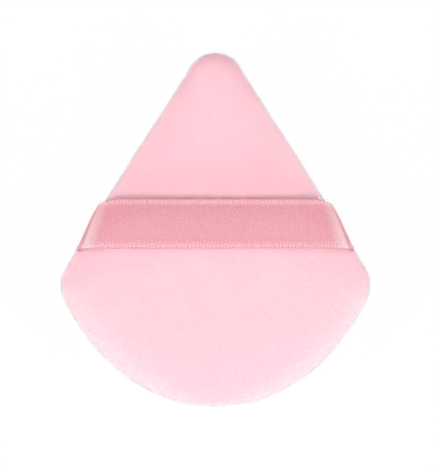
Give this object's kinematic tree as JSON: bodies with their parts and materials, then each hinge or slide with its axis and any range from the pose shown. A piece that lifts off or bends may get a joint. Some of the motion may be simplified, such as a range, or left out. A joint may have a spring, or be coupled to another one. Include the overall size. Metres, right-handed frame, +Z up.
{
  "type": "powder puff",
  "caption": "Rounded triangular velour powder puff with a sponge core, a soft flat applicator face and a satin ribbon strap on its back for the fingers.",
  "frame": {"origin": "centre of the bounding box on the applicator face, which lies on the table", "axes": "+X across the pad, +Y towards the pad's tip, +Z up from the applicator face to the ribbon strap"},
  "size_m": [0.07, 0.0798, 0.0189],
  "materials": {
    "velour": "short dense polyester pile, matt with a pale sheen at the rims",
    "sponge": "open-cell foam, matt",
    "thread": "spun polyester sewing thread",
    "satin_ribbon": "fine diagonal twill with a satin sheen and woven selvedges"
  },
  "bodies": {
    "pad": {"front_velour": "velour", "back_velour": "velour", "sponge_core": "sponge", "seam_needle_thread": "thread", "seam_bobbin_thread": "thread", "closing_thread": "thread", "ribbon_right_end": "satin_ribbon", "ribbon_left_end": "satin_ribbon"},
    "strap": {"ribbon_span": "satin_ribbon"}
  },
  "joints": [
    {"name": "strap_lift", "type": "slide", "parent": "pad", "child": "strap", "axis": [0, 0, 1], "range_m": [-0.004, 0.003], "stiffness_N_per_m": 20, "deforming": ["ribbon_right_end", "ribbon_left_end"]}
  ]
}
